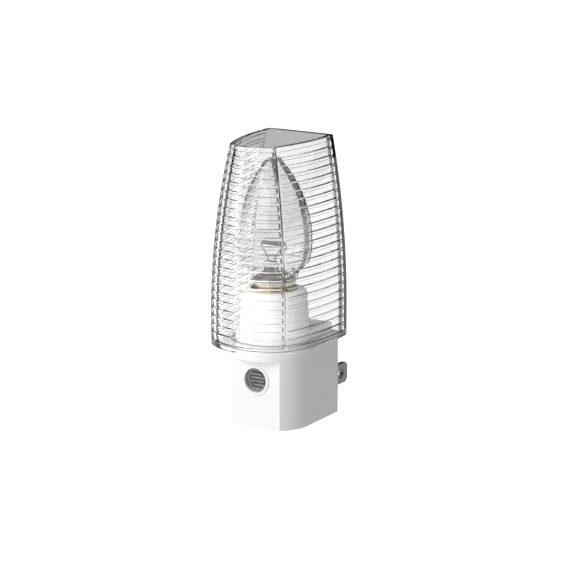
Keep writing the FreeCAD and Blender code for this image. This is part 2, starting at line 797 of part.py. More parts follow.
# Lamp

def lamp_shell():
    """The lamp's brass cap, threaded below and plain above."""
    wave = ring_thread(socket_foot, socket_foot + shell_height, screw_radius, screw_depth, screw_pitch,
                       thread_count)
    inner = thread_root - screw_metal
    outline = [(inner, cap_foot), (thread_root, cap_foot)]
    outline += wave
    outline += [
        (thread_root, cap_top - screw_pitch),
        (screw_radius, cap_top - screw_pitch * 0.6),
        (screw_radius, cap_top),
        (inner, cap_top),
    ]
    return turned("lamp_shell", outline, y=-lamp_depth)


def lamp_insulator():
    """The black glass cone between the cap and its solder tip."""
    top = cap_foot
    low = lamp_tip_height + lamp_contact_height
    outline = [
        (0, low),
        (lamp_contact_radius, low),
        (thread_root, top),
        (0, top),
    ]
    return turned("lamp_insulator", outline, y=-lamp_depth)


def lamp_contact():
    crown = lamp_contact_height
    radius = lamp_contact_radius
    dome = (radius * radius + crown * crown) / (2 * crown)
    outline = [
        (0, lamp_tip_height, dome),
        (radius, lamp_tip_height + crown),
        (0, lamp_tip_height + crown),
    ]
    return turned("lamp_contact", outline, y=-lamp_depth)


def bulb_profile(inset):
    """Corners of the glass outline from the neck up to the tip, moved inward by inset."""
    widest = cap_top + bulb_widest
    side = bulb_side_radius - inset
    belly = bulb_belly_radius - inset
    equator = bulb_radius - inset
    side_centre = bulb_radius - bulb_side_radius
    belly_centre = bulb_radius - bulb_belly_radius
    tip_centre = cap_top + bulb_length - bulb_tip_radius
    tip = bulb_tip_radius - inset
    tip_edge = tip * 0.8
    tip_level = tip_centre + tip * 0.6
    shoulder_level = widest - bulb_belly_height
    drop = bulb_belly_height
    shoulder_radius = belly_centre + root(belly * belly - drop * drop)
    neck = bulb_neck_radius - inset
    neck_level = cap_top + bulb_shoulder_height
    return [
        (neck, cap_top),
        (neck, neck_level),
        (shoulder_radius, shoulder_level, belly),
        (equator, widest, side),
        (tip_edge, tip_level, tip),
        (0, tip_centre + tip),
    ]


def lamp_glass():
    """A thin glass envelope: neck, shoulder, full belly, long taper and small round tip."""
    outside = bulb_profile(as_size(0))
    inside = bulb_profile(glass_wall)
    outline = list(outside)
    levels = list(reversed(inside))
    for index, corner in enumerate(levels):
        following = levels[index + 1] if index + 1 < len(levels) else None
        if following is not None and len(following) == 3:
            outline.append((corner[0], corner[1], -following[2]))
        else:
            outline.append((corner[0], corner[1]))
    return turned("lamp_glass", outline, y=-lamp_depth)


def lamp_stem():
    """The glass stem: a flare at the cap that narrows to a flat pressed top."""
    half = stem_radius * 0.85
    flat = stem_radius * 0.35
    flare = block("stem_press", (-half, -lamp_depth - flat, cap_top + stem_height * 0.45),
                  (half, -lamp_depth + flat, cap_top + stem_height))
    cone = doc.addObject("Part::Cone", "stem_cone")
    bind(cone, "Radius1", bulb_neck_radius - glass_wall)
    bind(cone, "Radius2", stem_radius * 0.7)
    bind(cone, "Height", stem_height * 0.6)
    place(cone, 0, -lamp_depth, cap_top)
    return joined("lamp_stem", [flare, cone])


def lamp_lead_wires():
    """Two wires that rise from the stem and open outward to the filament's ends."""
    solids = []
    low = cap_top + stem_height
    top = cap_top + filament_height
    for side in (-1, 1):
        points = [
            (side * stem_radius * 0.5, -lamp_depth, low),
            (side * stem_radius * 0.5, -lamp_depth, low + support_upright),
            (side * filament_half, -lamp_depth, top - support_upright),
            (side * filament_half, -lamp_depth, top),
        ]
        solids.append(tube(points, support_wire / 2, support_bend))
    return formed("lamp_lead_wires", Part.makeCompound(solids))


def lamp_filament():
    """A tungsten coil between the lead wires, one unbroken tube."""
    span = 2 * (filament_half - support_wire / 2) - filament_wire
    turns = filament_turns
    pitch = span.value / turns
    helix = Part.makeHelix(pitch, span.value, filament_coil_radius.value)
    start = FreeCAD.Vector(filament_coil_radius.value, 0, 0)
    ring = Part.Wire([Part.Circle(start, FreeCAD.Vector(0, 1, 0), filament_wire.value / 2).toShape()])
    coil = Part.Wire(helix.Edges).makePipeShell([ring], True, True)
    centre = cap_top + filament_height
    turn = FreeCAD.Rotation(FreeCAD.Vector(0, 1, 0), 90)
    coil.Placement = FreeCAD.Placement(FreeCAD.Vector(-span.value / 2, -lamp_depth.value, centre.value), turn)
    print("filament: gap between turns", round(pitch - filament_wire.value, 3))
    return formed("lamp_filament", coil)


# Shade

def shade_section(level, grow, grow_back):
    """The shade's outline at one level, moved outward by grow."""
    start = seat.value + shade_straight.value
    top = seat.value + shade_height.value
    share = max(level - start, 0.0) / (top - start)
    lean = share ** 2
    corner = front_half.value - front_lean.value * lean + grow
    depth = front_depth.value - depth_lean.value * lean + grow
    back = back_half.value - back_lean.value * lean + grow
    rear = shade_gap.value - grow_back
    bow = front_bow.value + (front_bow_top.value - front_bow.value) * share
    left = FreeCAD.Vector(-corner, -depth, level)
    right = FreeCAD.Vector(corner, -depth, level)
    right_back = FreeCAD.Vector(back, -rear, level)
    left_back = FreeCAD.Vector(-back, -rear, level)
    front = FreeCAD.Vector(0, -depth - bow, level)
    along = (right_back - right).normalize()
    outward = FreeCAD.Vector(along.y, -along.x, 0)
    right_middle = (right + right_back) * 0.5 + outward * side_bow.value
    left_middle = FreeCAD.Vector(-right_middle.x, right_middle.y, level)
    return Part.Wire([
        Part.Arc(left, front, right).toShape(),
        Part.Arc(right, right_middle, right_back).toShape(),
        Part.LineSegment(right_back, left_back).toShape(),
        Part.Arc(left_back, left_middle, left).toShape(),
    ])


def shade_block(low, high, grow, grow_back):
    """A solid through the shade's sections between two levels."""
    start = seat.value + shade_straight.value
    steps = 6
    levels = [low]
    if low < start - 1:
        levels.append((low + start) / 2)
    first = max(low, start)
    levels += [first + (high - first) * index / steps for index in range(steps + 1)]
    return Part.makeLoft([shade_section(level, grow, grow_back) for level in levels], True, False)


def groove_bar(start, end, level, along_x, low_reach, high_reach):
    """A level bar with rounded ends, as tall as a groove."""
    height = groove_width.value
    rounding = min(groove_end_round.value, height * 0.45)
    if along_x:
        bar = Part.makeBox(high_reach - low_reach, end - start, height,
                           FreeCAD.Vector(low_reach, start, level))
    else:
        bar = Part.makeBox(end - start, high_reach - low_reach, height,
                           FreeCAD.Vector(start, low_reach, level))
    length = high_reach - low_reach
    long_edges = [edge for edge in bar.Edges if abs(edge.Length - length) < 0.001]
    return bar.makeFillet(rounding, long_edges)


def groove_levels():
    """Lower edge of each groove, from the lid down to the plain margin above the seat."""
    levels = []
    level = seat.value + shade_height.value - groove_top_margin.value - groove_width.value
    while level >= seat.value + groove_foot_margin.value:
        levels.append(level)
        level -= groove_pitch.value
    return levels


def shade():
    """A clear moulded cover: curved walls, a flat lid, an inward rim and level ribs."""
    low = seat.value
    high = seat.value + shade_height.value
    wall = shade_wall.value
    skin = shade_block(low, high, 0.0, 0.0)
    core = shade_block(low, high, -groove_depth.value, 0.0)
    side_bars = []
    front_bars = []
    reach = back_half.value + side_bow.value + 5
    front_reach = front_depth.value + front_bow.value + 5
    for level in groove_levels():
        section = shade_section(level + groove_width.value / 2, 0.0, 0.0)
        corner = max(vertex.Point.x for vertex in section.Edges[0].Vertexes)
        depth = section.Edges[0].Vertexes[0].Point.y
        rear = -shade_gap.value
        side_bars.append(groove_bar(depth + groove_front_margin.value, rear - groove_back_margin.value,
                                    level, True, -reach, reach))
        front_bars.append(groove_bar(-corner + groove_front_margin.value, corner - groove_front_margin.value,
                                     level, False, -front_reach, depth + wall))
    side_grooves = Part.makeCompound(side_bars).cut(core)
    front_grooves = Part.makeCompound(front_bars).cut(core)
    space = shade_block(low + shade_floor.value, high - shade_lid.value, -wall, -wall)
    opening = shade_opening(low - 1, low + shade_floor.value + 1)
    body = skin.cut([side_grooves, front_grooves]).cut(space).cut(opening)
    print("shade: grooves on each panel", len(side_bars))
    return formed("shade", body)


def shade_opening(low, high):
    """The hole in the shade's rim that slips over the column's neck."""
    half = column_half.value - neck_inset.value + shade_fit.value
    straight = column_straight.value
    back = shade_gap.value + shade_wall.value
    sides = Part.makeBox(2 * half, straight - back, high - low, FreeCAD.Vector(-half, -straight, low))
    front = Part.makeCylinder(half, high - low, FreeCAD.Vector(0, -straight, low))
    return sides.fuse(front)


# Hookup wires inside the column

def blade_wire(label, side):
    """An insulated wire from a blade's tail to the board's back face."""
    centre = side * blade_spacing / 2
    end = -(cover_thickness + blade_tail)
    points = [
        (centre, end, 0),
        (centre, end - blade_wire_run, 0),
        (centre, end - blade_wire_run, -blade_wire_drop),
        (centre, -board_depth, -blade_wire_drop),
    ]
    return formed(f"wire_{label}", tube(points, wire_radius, blade_wire_bend))


def lamp_wire():
    """An insulated wire from the socket's contact down to the board's front face."""
    top = seat - housing_wall - tail_reach
    level = top - lamp_wire_drop
    points = [
        (0, -lamp_depth, top),
        (0, -lamp_depth, level),
        (0, -board_front, level),
    ]
    return formed("wire_lamp", tube(points, wire_radius, lamp_wire_bend))


# Assembly

sub_parts = [
    base_housing(),
    rear_cover(),
    cover_screws(),
    photocell_bezel(),
    photocell_window(),
    photocell_body(),
    photocell_track(),
    photocell_leads(),
    circuit_board(),
    thyristor(),
    resistors(),
    diode(),
    capacitor(),
    socket_sleeve(),
    socket_shell(),
    socket_insulator(),
    socket_contact(),
    lamp_shell(),
    lamp_insulator(),
    lamp_contact(),
    lamp_glass(),
    lamp_stem(),
    lamp_lead_wires(),
    lamp_filament(),
    blade_wire("hot", 1),
    blade_wire("neutral", -1),
    lamp_wire(),
    shade(),
]
sub_parts += [plug_blade(label, side, width) for label, side, width in blades()]

doc.recompute()

for item in doc.Objects:
    if "Invalid" in item.State or "Error" in item.State:
        raise RuntimeError(f"{item.Name} did not compute")

os.makedirs("parts", exist_ok=True)
for item in sub_parts:
    item.Label = item.Name
    if item.Shape.isNull() or not item.Shape.isValid():
        raise RuntimeError(f"{item.Name} has no valid shape")
    item.Shape.exportStep(f"parts/{item.Name}.step")
    print(f"{item.Name}: {len(item.Shape.Solids)} solid(s), {item.Shape.Volume:.1f} cubic mm")
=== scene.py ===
import math

import bmesh
import bpy
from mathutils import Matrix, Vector


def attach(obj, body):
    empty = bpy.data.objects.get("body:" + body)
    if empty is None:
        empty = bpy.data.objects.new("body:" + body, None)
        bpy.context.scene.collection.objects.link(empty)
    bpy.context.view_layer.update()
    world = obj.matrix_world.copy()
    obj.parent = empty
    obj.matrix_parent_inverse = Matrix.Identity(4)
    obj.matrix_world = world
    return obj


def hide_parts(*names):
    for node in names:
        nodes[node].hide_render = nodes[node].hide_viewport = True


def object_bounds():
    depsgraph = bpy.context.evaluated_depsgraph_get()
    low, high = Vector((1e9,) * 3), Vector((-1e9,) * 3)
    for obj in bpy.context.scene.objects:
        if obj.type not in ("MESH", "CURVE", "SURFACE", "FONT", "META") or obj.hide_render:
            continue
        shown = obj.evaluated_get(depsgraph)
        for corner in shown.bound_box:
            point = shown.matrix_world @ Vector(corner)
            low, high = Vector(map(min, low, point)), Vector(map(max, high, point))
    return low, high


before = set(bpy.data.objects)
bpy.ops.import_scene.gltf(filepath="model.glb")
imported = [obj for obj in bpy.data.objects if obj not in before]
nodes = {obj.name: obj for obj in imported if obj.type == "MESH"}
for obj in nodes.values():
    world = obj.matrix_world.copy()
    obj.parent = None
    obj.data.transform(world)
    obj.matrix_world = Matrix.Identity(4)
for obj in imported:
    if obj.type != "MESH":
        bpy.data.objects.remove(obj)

cad_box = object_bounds()
MM = 0.001
NEARLY_NOTHING = 0.001

# Camera: looks down at the right front corner of the light. Degrees and metres, the sensor in millimetres
IMAGE_SIDE = 576
FOCAL_PIXELS = 2600.0
SENSOR = 36.0
VIEW_AZIMUTH = 30.8
VIEW_ELEVATION = 13.7
VIEW_DISTANCE = 0.800
TARGET_RIGHT = -0.0044
TARGET_HEIGHT = 0.0292
NEAREST = 0.01
FARTHEST = 20.0

# Surfaces: scales in features per metre, depths in metres
MOTTLE_SCALE = 90.0
MOTTLE_DARK = 0.975
PLASTIC_GLOSS_SCALE = 400.0
PLASTIC_GLOSS_STEPS = (-0.01, 0.02)
PLASTIC_GRAIN_SCALE = 2600.0
PLASTIC_GRAIN_DEPTH = 0.000002
CLEAR_GLOSS_SCALE = 250.0
CLEAR_GLOSS_STEP = 0.02
CLEAR_RIPPLE_DEPTH = 0.00002
CLEAR_RIPPLE_STRENGTH = 0.3
LAMP_LIGHT_SHARE = 0.93
STAIN_SCALE = 300.0
STAIN_DARK = 0.8
SCRATCH_SCALE = 1500.0
SCRATCH_GLOSS_SHARES = (0.7, 1.3)
SCRATCH_DEPTH = 0.000004
SPECKLE_SCALE = 700.0
SPECKLE_DARK = 0.75
SPECKLE_DEPTH = 0.00002
PLASTIC_REFRACTION = 1.49
GLASS_REFRACTION = 1.5
GLASS_RIPPLE_SCALE = 90.0
BULB_RIPPLE_SCALE = 70.0
SHADE_RIPPLE_SCALE = 120.0

# Shade, in millimetres: the outline of the solid, with finer grooves and rounds
SEAT = 16.8
SHADE_TOP = 78.4
UPRIGHT_TOP = 26.2
SHADE_WALL = 1.55
SHADE_LID = 0.45
SHADE_FLOOR = 1.35
FRONT_HALF = 13.1
FRONT_HALF_LEAN = 5.2
FRONT_DEPTH = 31.8
FRONT_DEPTH_LEAN = 2.9
BACK_HALF = 16.4
BACK_HALF_LEAN = 5.1
BACK_GAP = 0.6
FRONT_BOW = 5.2
FRONT_BOW_LOSS = 1.4
SIDE_BOW = 1.7
OPENING_HALF = 11.45
OPENING_STRAIGHT = 18.0
GROOVE_DEPTH = 0.4
GROOVE_HEIGHT = 1.65
GROOVE_PITCH = 2.57
GROOVE_TOP = 75.35
GROOVE_COUNT = 23
GROOVE_SLOPE = 0.26
GROOVE_CORNER = 0.5
FRONT_MARGIN = 0.75
BACK_MARGIN = 2.8
FRONT_ROUND = 0.06
BACK_ROUND = 1.0
INNER_ROUND = 0.7
EDGE_ROUND = 0.2
OUTSIDE_GROOVES = -1.0

# Fineness of the shade's mesh: shares of a groove's slope, millimetres and counts
SLOPE_SHARES = (-0.65, -0.5, -0.3, -0.1, 0.1, 0.3, 0.5, 0.65)
SLOPE_STEPS = 6
PAST_SLOPE = (0.18, 0.24, 0.32, 0.42, 0.56, 0.8, 1.2)
PAST_CORNER = 0.08
PAST_ROUND = 0.1
ROUND_STEPS = 4
FRONT_COLUMNS = 22
SIDE_COLUMNS = 14
BACK_COLUMNS = 8
FRONT_CORNER_STEPS = 3
BACK_CORNER_STEPS = 8
INNER_ROWS = 30
SMALLEST_EDGE = 0.002
SHARP_ANGLE = 38

# Room, in metres. The floor's painted dark sector is in degrees from straight behind the light to its
# left
FLOOR_DROP = 0.10
FLOOR_HALF = 4.0
FLOOR_GLOW = 0.85
FLOOR_GLOW_IN_GLASS = 0.58
FLOOR_WHITE = 0.8
# Painted shade: the floor takes this dark colour in its sector, seen only in reflections and through
# clear pieces
FLOOR_PAINTED_DARK = 0.02
FLOOR_ROUGHNESS = 0.9
PAINTED_DARK_SECTOR = (3.0, 26.5)
SECTOR_SOFTNESS = 1.0
SKY_LOW = 0.06
SKY_HIGH = 0.75
SKY_RISE = (0.5, 0.9)
LIGHT_DISTANCE = 1.0
LIGHT_TARGET = (0, -0.015, 0.035)


def view_directions(azimuth, elevation):
    """The unit vectors back towards the viewer and to the viewer's right."""
    a = math.radians(azimuth)
    e = math.radians(elevation)
    back = Vector((math.sin(a) * math.cos(e), -math.cos(a) * math.cos(e), math.sin(e)))
    right = Vector((math.cos(a), math.sin(a), 0.0))
    return back, right


def add_camera():
    """A long lens on the photograph's side."""
    back, right = view_directions(VIEW_AZIMUTH, VIEW_ELEVATION)
    target = right * TARGET_RIGHT + Vector((0, 0, TARGET_HEIGHT))
    camera_data = bpy.data.cameras.new("camera")
    camera_data.sensor_width = SENSOR
    camera_data.lens = FOCAL_PIXELS / IMAGE_SIDE * SENSOR
    camera_data.clip_start = NEAREST
    camera_data.clip_end = FARTHEST
    camera = bpy.data.objects.new("camera", camera_data)
    camera.location = target + back * VIEW_DISTANCE
    camera.rotation_euler = (-back).to_track_quat("-Z", "Y").to_euler()
    bpy.context.collection.objects.link(camera)
    bpy.context.scene.camera = camera


# Node helpers

def new_material(name):
    """A material with only a Principled shader; returns the material, its tree and the shader."""
    material = bpy.data.materials.new(name)
    material.use_nodes = True
    tree = material.node_tree
    return material, tree, tree.nodes["Principled BSDF"]


def noise(tree, scale, detail=4.0, stretch=(1, 1, 1)):
    """A noise texture in object space."""
    place = tree.nodes.new("ShaderNodeTexCoord")
    mapping = tree.nodes.new("ShaderNodeMapping")
    mapping.inputs["Scale"].default_value = stretch
    texture = tree.nodes.new("ShaderNodeTexNoise")
    texture.inputs["Scale"].default_value = scale
    texture.inputs["Detail"].default_value = detail
    tree.links.new(place.outputs["Object"], mapping.inputs["Vector"])
    tree.links.new(mapping.outputs["Vector"], texture.inputs["Vector"])
    return texture.outputs["Fac"]


def ramp(tree, value, low, high, low_at=0.35, high_at=0.65):
    """A soft change between two colours or numbers, driven by value."""
    node = tree.nodes.new("ShaderNodeValToRGB")
    node.color_ramp.elements[0].position = low_at
    node.color_ramp.elements[1].position = high_at
    node.color_ramp.elements[0].color = (*low[:3], 1)
    node.color_ramp.elements[1].color = (*high[:3], 1)
    tree.links.new(value, node.inputs["Fac"])
    return node.outputs["Color"]


def grey(level):
    return (level, level, level, 1)


def bump(tree, shader, height, distance, strength=1.0):
    """Relief of the given depth, driven by height."""
    node = tree.nodes.new("ShaderNodeBump")
    node.inputs["Distance"].default_value = distance
    node.inputs["Strength"].default_value = strength
    tree.links.new(height, node.inputs["Height"])
    tree.links.new(node.outputs["Normal"], shader.inputs["Normal"])


# Materials

def moulded_plastic(name, colour, roughness):
    """Moulded plastic: faint mottling, fine spark-eroded grain and uneven gloss."""
    material, tree, shader = new_material(name)
    darker = tuple(value * MOTTLE_DARK for value in colour)
    tint = ramp(tree, noise(tree, MOTTLE_SCALE), darker, colour)
    tree.links.new(tint, shader.inputs["Base Color"])
    smoothest, roughest = (grey(roughness + step) for step in PLASTIC_GLOSS_STEPS)
    gloss = ramp(tree, noise(tree, PLASTIC_GLOSS_SCALE), smoothest, roughest)
    tree.links.new(gloss, shader.inputs["Roughness"])
    shader.inputs["IOR"].default_value = PLASTIC_REFRACTION
    bump(tree, shader, noise(tree, PLASTIC_GRAIN_SCALE, detail=2.0), PLASTIC_GRAIN_DEPTH)
    return material


def let_light_through(tree, shader):
    """Lamps shine through a thin clear wall instead of being stopped by it."""
    path = tree.nodes.new("ShaderNodeLightPath")
    open_wall = tree.nodes.new("ShaderNodeBsdfTransparent")
    open_wall.inputs["Color"].default_value = grey(LAMP_LIGHT_SHARE)
    mix = tree.nodes.new("ShaderNodeMixShader")
    tree.links.new(path.outputs["Is Shadow Ray"], mix.inputs["Fac"])
    tree.links.new(shader.outputs["BSDF"], mix.inputs[1])
    tree.links.new(open_wall.outputs["BSDF"], mix.inputs[2])
    tree.links.new(mix.outputs["Shader"], tree.nodes["Material Output"].inputs["Surface"])


def clear(name, tint, refraction, roughness, ripple_scale):
    """A clear material: sharp, faintly uneven in gloss and surface."""
    material, tree, shader = new_material(name)
    shader.inputs["Base Color"].default_value = grey(tint)
    shader.inputs["Transmission Weight"].default_value = 1.0
    shader.inputs["IOR"].default_value = refraction
    roughest = grey(roughness + CLEAR_GLOSS_STEP)
    gloss = ramp(tree, noise(tree, CLEAR_GLOSS_SCALE), grey(roughness), roughest)
    tree.links.new(gloss, shader.inputs["Roughness"])
    ripple = noise(tree, ripple_scale, detail=1.0)
    bump(tree, shader, ripple, CLEAR_RIPPLE_DEPTH, CLEAR_RIPPLE_STRENGTH)
    let_light_through(tree, shader)
    return material


def metal(name, colour, roughness, streak=(1, 1, 1)):
    """Worked metal: streaked gloss, slight stain and fine scratches."""
    material, tree, shader = new_material(name)
    shader.inputs["Metallic"].default_value = 1.0
    darker = tuple(value * STAIN_DARK for value in colour)
    tint = ramp(tree, noise(tree, STAIN_SCALE, detail=3.0), darker, colour)
    tree.links.new(tint, shader.inputs["Base Color"])
    lines = noise(tree, SCRATCH_SCALE, detail=3.0, stretch=streak)
    smoothest, roughest = (grey(roughness * share) for share in SCRATCH_GLOSS_SHARES)
    gloss = ramp(tree, lines, smoothest, roughest)
    tree.links.new(gloss, shader.inputs["Roughness"])
    bump(tree, shader, lines, SCRATCH_DEPTH)
    return material


def dull(name, colour, roughness):
    """Dull coated material with a speckled tone."""
    material, tree, shader = new_material(name)
    darker = tuple(value * SPECKLE_DARK for value in colour)
    speckle = noise(tree, SPECKLE_SCALE, detail=3.0)
    tree.links.new(ramp(tree, speckle, darker, colour), shader.inputs["Base Color"])
    shader.inputs["Roughness"].default_value = roughness
    bump(tree, shader, speckle, SPECKLE_DEPTH)
    return material


def paint(node, material):
    """Gives a CAD node one material in every slot."""
    mesh = nodes[node].data
    if not mesh.materials:
        mesh.materials.append(material)
    for index in range(len(mesh.materials)):
        mesh.materials[index] = material


def paint_nodes():
    """Finishes of the solids. The shade isn't among them, because it gets its own mesh."""
    white = moulded_plastic("white_plastic", (0.86, 0.86, 0.85), 0.30)
    sleeve = moulded_plastic("white_sleeve", (0.88, 0.88, 0.87), 0.45)
    off_white = moulded_plastic("off_white_plastic", (0.80, 0.79, 0.75), 0.5)
    brass = metal("sheet_brass", (0.80, 0.62, 0.30), 0.25)
    cap = metal("cap_metal", (0.62, 0.58, 0.52), 0.22)
    nickel = metal("nickel_plate", (0.20, 0.195, 0.19), 0.32, streak=(1, 6, 1))
    steel = metal("zinc_steel", (0.62, 0.62, 0.63), 0.3)
    wire = metal("nickel_wire", (0.45, 0.44, 0.42), 0.35)
    black = dull("black_epoxy", (0.03, 0.03, 0.032), 0.45)
    finishes = {
        "base_housing": white,
        "rear_cover": white,
        "photocell_bezel": white,
        "socket_sleeve": sleeve,
        "socket_insulator": off_white,
        "socket_shell": brass,
        "socket_contact": brass,
        "lamp_shell": cap,
        "lamp_insulator": dull("black_glass", (0.02, 0.02, 0.022), 0.15),
        "lamp_contact": metal("solder", (0.6, 0.6, 0.62), 0.45),
        "blade_hot": nickel,
        "blade_neutral": nickel,
        "cover_screws": steel,
        "photocell_window": clear("sensor_lens", 0.9, GLASS_REFRACTION, 0.02, GLASS_RIPPLE_SCALE),
        "photocell_body": dull("sensor_ceramic", (0.16, 0.155, 0.15), 0.5),
        "photocell_track": dull("sensor_track", (0.03, 0.028, 0.028), 0.4),
        "photocell_leads": wire,
        "circuit_board": dull("board_laminate", (0.55, 0.43, 0.22), 0.6),
        "thyristor": black,
        "diode": black,
        "resistors": dull("resistor_coat", (0.70, 0.58, 0.40), 0.4),
        "capacitor": dull("capacitor_coat", (0.70, 0.34, 0.08), 0.35),
        "wire_hot": dull("black_insulation", (0.02, 0.02, 0.02), 0.5),
        "wire_neutral": dull("white_insulation", (0.8, 0.8, 0.78), 0.5),
        "wire_lamp": dull("red_insulation", (0.5, 0.03, 0.02), 0.5),
        "lamp_stem": clear("stem_glass", 0.9, GLASS_REFRACTION, 0.02, GLASS_RIPPLE_SCALE),
        "lamp_lead_wires": wire,
        "lamp_filament": metal("tungsten", (0.22, 0.22, 0.23), 0.45),
        "lamp_glass": clear("bulb_glass", 0.91, GLASS_REFRACTION, 0.0, BULB_RIPPLE_SCALE),
    }
    for node, material in finishes.items():
        paint(node, material)


# Shade

def bowed(start, end, bow, stations):
    """Points on an arc from start to end that bulges outward by bow, at distances along it."""
    along = (end - start).normalized()
    outward = Vector((along.y, -along.x))
    half_chord = (end - start).length / 2
    half_angle = 2 * math.atan(bow / half_chord)
    radius = half_chord / math.sin(half_angle)
    centre = (start + end) / 2 - outward * (radius - bow)
    points = []
    for station in stations:
        angle = station / radius - half_angle
        points.append(centre + along * (radius * math.sin(angle)) + outward * (radius * math.cos(angle)))
    return points


def bowed_length(start, end, bow):
    """Length of the arc that bowed follows."""
    half_chord = (end - start).length / 2
    half_angle = 2 * math.atan(bow / half_chord)
    return 2 * half_angle * half_chord / math.sin(half_angle)


def end_stations(trim, margin):
    """Distances from a corner, from its round on, that crowd around the grooves' end at margin."""
    slope = [margin + GROOVE_SLOPE * (step / SLOPE_STEPS - 0.5) for step in range(SLOPE_STEPS + 1)]
    return [trim, trim + PAST_CORNER] + slope + [margin + step for step in PAST_SLOPE]


def spread(first, last, count):
    """Evenly spaced numbers between two, without the two."""
    return [first + (last - first) * step / (count + 1) for step in range(1, count + 1)]


def ribbed_panel(start, end, bow, start_end, end_end, middle):
    """Points along a grooved panel, each with how far it lies inside the grooves' nearer end.

    start_end and end_end are the corner's round and the grooves' margin at each end.
    """
    length = bowed_length(start, end, bow)
    first = end_stations(*start_end)
    last = [length - distance for distance in reversed(end_stations(*end_end))]
    stations = first + spread(first[-1], last[0], middle) + last
    inside = [min(station - start_end[1], length - end_end[1] - station) for station in stations]
    return list(zip(bowed(start, end, bow, stations), inside))


def plain_panel(start, end, trim, middle):
    """Points along the smooth back."""
    along = (end - start).normalized()
    length = (end - start).length
    stations = [trim] + spread(trim, length - trim, middle) + [length - trim]
    return [(start + along * station, OUTSIDE_GROOVES) for station in stations]


def rounded_corner(before, corner, after, count):
    """Points of a soft curve round a corner, without its two ends."""
    points = []
    for step in range(1, count):
        share = step / count
        point = before * (1 - share) ** 2 + corner * (2 * share * (1 - share)) + after * share ** 2
        points.append((point, OUTSIDE_GROOVES))
    return points


def shade_outline(level, inset, back_round):
    """The shade's outline at one level, moved inward by inset, from the left front corner on."""
    share = max(level - UPRIGHT_TOP, 0.0) / (SHADE_TOP - UPRIGHT_TOP)
    lean = share ** 2
    half = FRONT_HALF - FRONT_HALF_LEAN * lean - inset
    depth = FRONT_DEPTH - FRONT_DEPTH_LEAN * lean - inset
    back = BACK_HALF - BACK_HALF_LEAN * lean - inset
    rear = BACK_GAP + inset
    left = Vector((-half, -depth))
    right = Vector((half, -depth))
    right_back = Vector((back, -rear))
    left_back = Vector((-back, -rear))
    front_end = (FRONT_ROUND, FRONT_MARGIN)
    back_end = (back_round, BACK_MARGIN)
    front_bow = FRONT_BOW - FRONT_BOW_LOSS * share
    side_bow = SIDE_BOW * (1 - 2 * inset / FRONT_DEPTH)
    panels = [
        ribbed_panel(left, right, front_bow, front_end, front_end, FRONT_COLUMNS),
        ribbed_panel(right, right_back, side_bow, front_end, back_end, SIDE_COLUMNS),
        plain_panel(right_back, left_back, back_round, BACK_COLUMNS),
        ribbed_panel(left_back, left, side_bow, back_end, front_end, SIDE_COLUMNS),
    ]
    corners = [
        (right, FRONT_CORNER_STEPS),
        (right_back, BACK_CORNER_STEPS),
        (left_back, BACK_CORNER_STEPS),
        (left, FRONT_CORNER_STEPS),
    ]
    outline = []
    for index, (corner, count) in enumerate(corners):
        following = panels[(index + 1) % len(panels)]
        outline += panels[index]
        outline += rounded_corner(panels[index][-1][0], corner, following[0][0], count)
    return outline


def groove_feet():
    """Level of each groove's lower side, from the foot of the shade up."""
    return [GROOVE_TOP - GROOVE_PITCH * index for index in reversed(range(GROOVE_COUNT))]


def groove_depth(level, inside_end):
    """Depth of the grooves' sloped, round-cornered recess at one place."""
    middles = [foot + GROOVE_HEIGHT / 2 for foot in groove_feet()]
    middle = min(middles, key=lambda height: abs(height - level))
    inside_edge = GROOVE_HEIGHT / 2 - abs(level - middle)
    corner_up = max(GROOVE_CORNER - inside_edge, 0.0)
    corner_along = max(GROOVE_CORNER - inside_end, 0.0)
    if corner_up and corner_along:
        inside = GROOVE_CORNER - math.hypot(corner_up, corner_along)
    else:
        inside = min(inside_edge, inside_end)
    share = min(max(inside / GROOVE_SLOPE + 0.5, 0.0), 1.0)
    # Flat at both ends of the slope and steepest halfway
    return GROOVE_DEPTH * share * share * (3 - 2 * share)


def outer_rows():
    """Level of each row of the outer wall, with how far the rounded edges draw it in.

    A row close beside each round and each groove keeps the face between them flat to the light.
    """
    angles = [math.pi / 2 * step / ROUND_STEPS for step in range(ROUND_STEPS + 1)]
    edge = [(EDGE_ROUND * (1 - math.cos(angle)), EDGE_ROUND * (1 - math.sin(angle))) for angle in angles]
    edge = [(0.0, EDGE_ROUND + PAST_ROUND)] + edge + [(EDGE_ROUND + PAST_ROUND, 0.0)]
    foot = [(SEAT + rise, drawn_in) for rise, drawn_in in edge]
    lid = [(SHADE_TOP - rise, drawn_in) for rise, drawn_in in reversed(edge)]
    grooves = []
    for groove_foot in groove_feet():
        for side in (groove_foot, groove_foot + GROOVE_HEIGHT):
            grooves += [(side + GROOVE_SLOPE * share, 0.0) for share in SLOPE_SHARES]
    return foot + grooves + lid


def outer_ring(level, drawn_in):
    """The outer wall at one level, with its grooves."""
    outline = shade_outline(level, 0.0, BACK_ROUND)
    ring = []
    for index, (point, inside_end) in enumerate(outline):
        along = (outline[(index + 1) % len(outline)][0] - outline[index - 1][0]).normalized()
        inward = Vector((-along.y, along.x))
        moved = point + inward * (drawn_in + groove_depth(level, inside_end))
        ring.append((moved.x, moved.y, level))
    return ring


def inner_ring(level):
    """The smooth inner wall at one level."""
    outline = shade_outline(level, SHADE_WALL, INNER_ROUND)
    return [(point.x, point.y, level) for point, _ in outline]


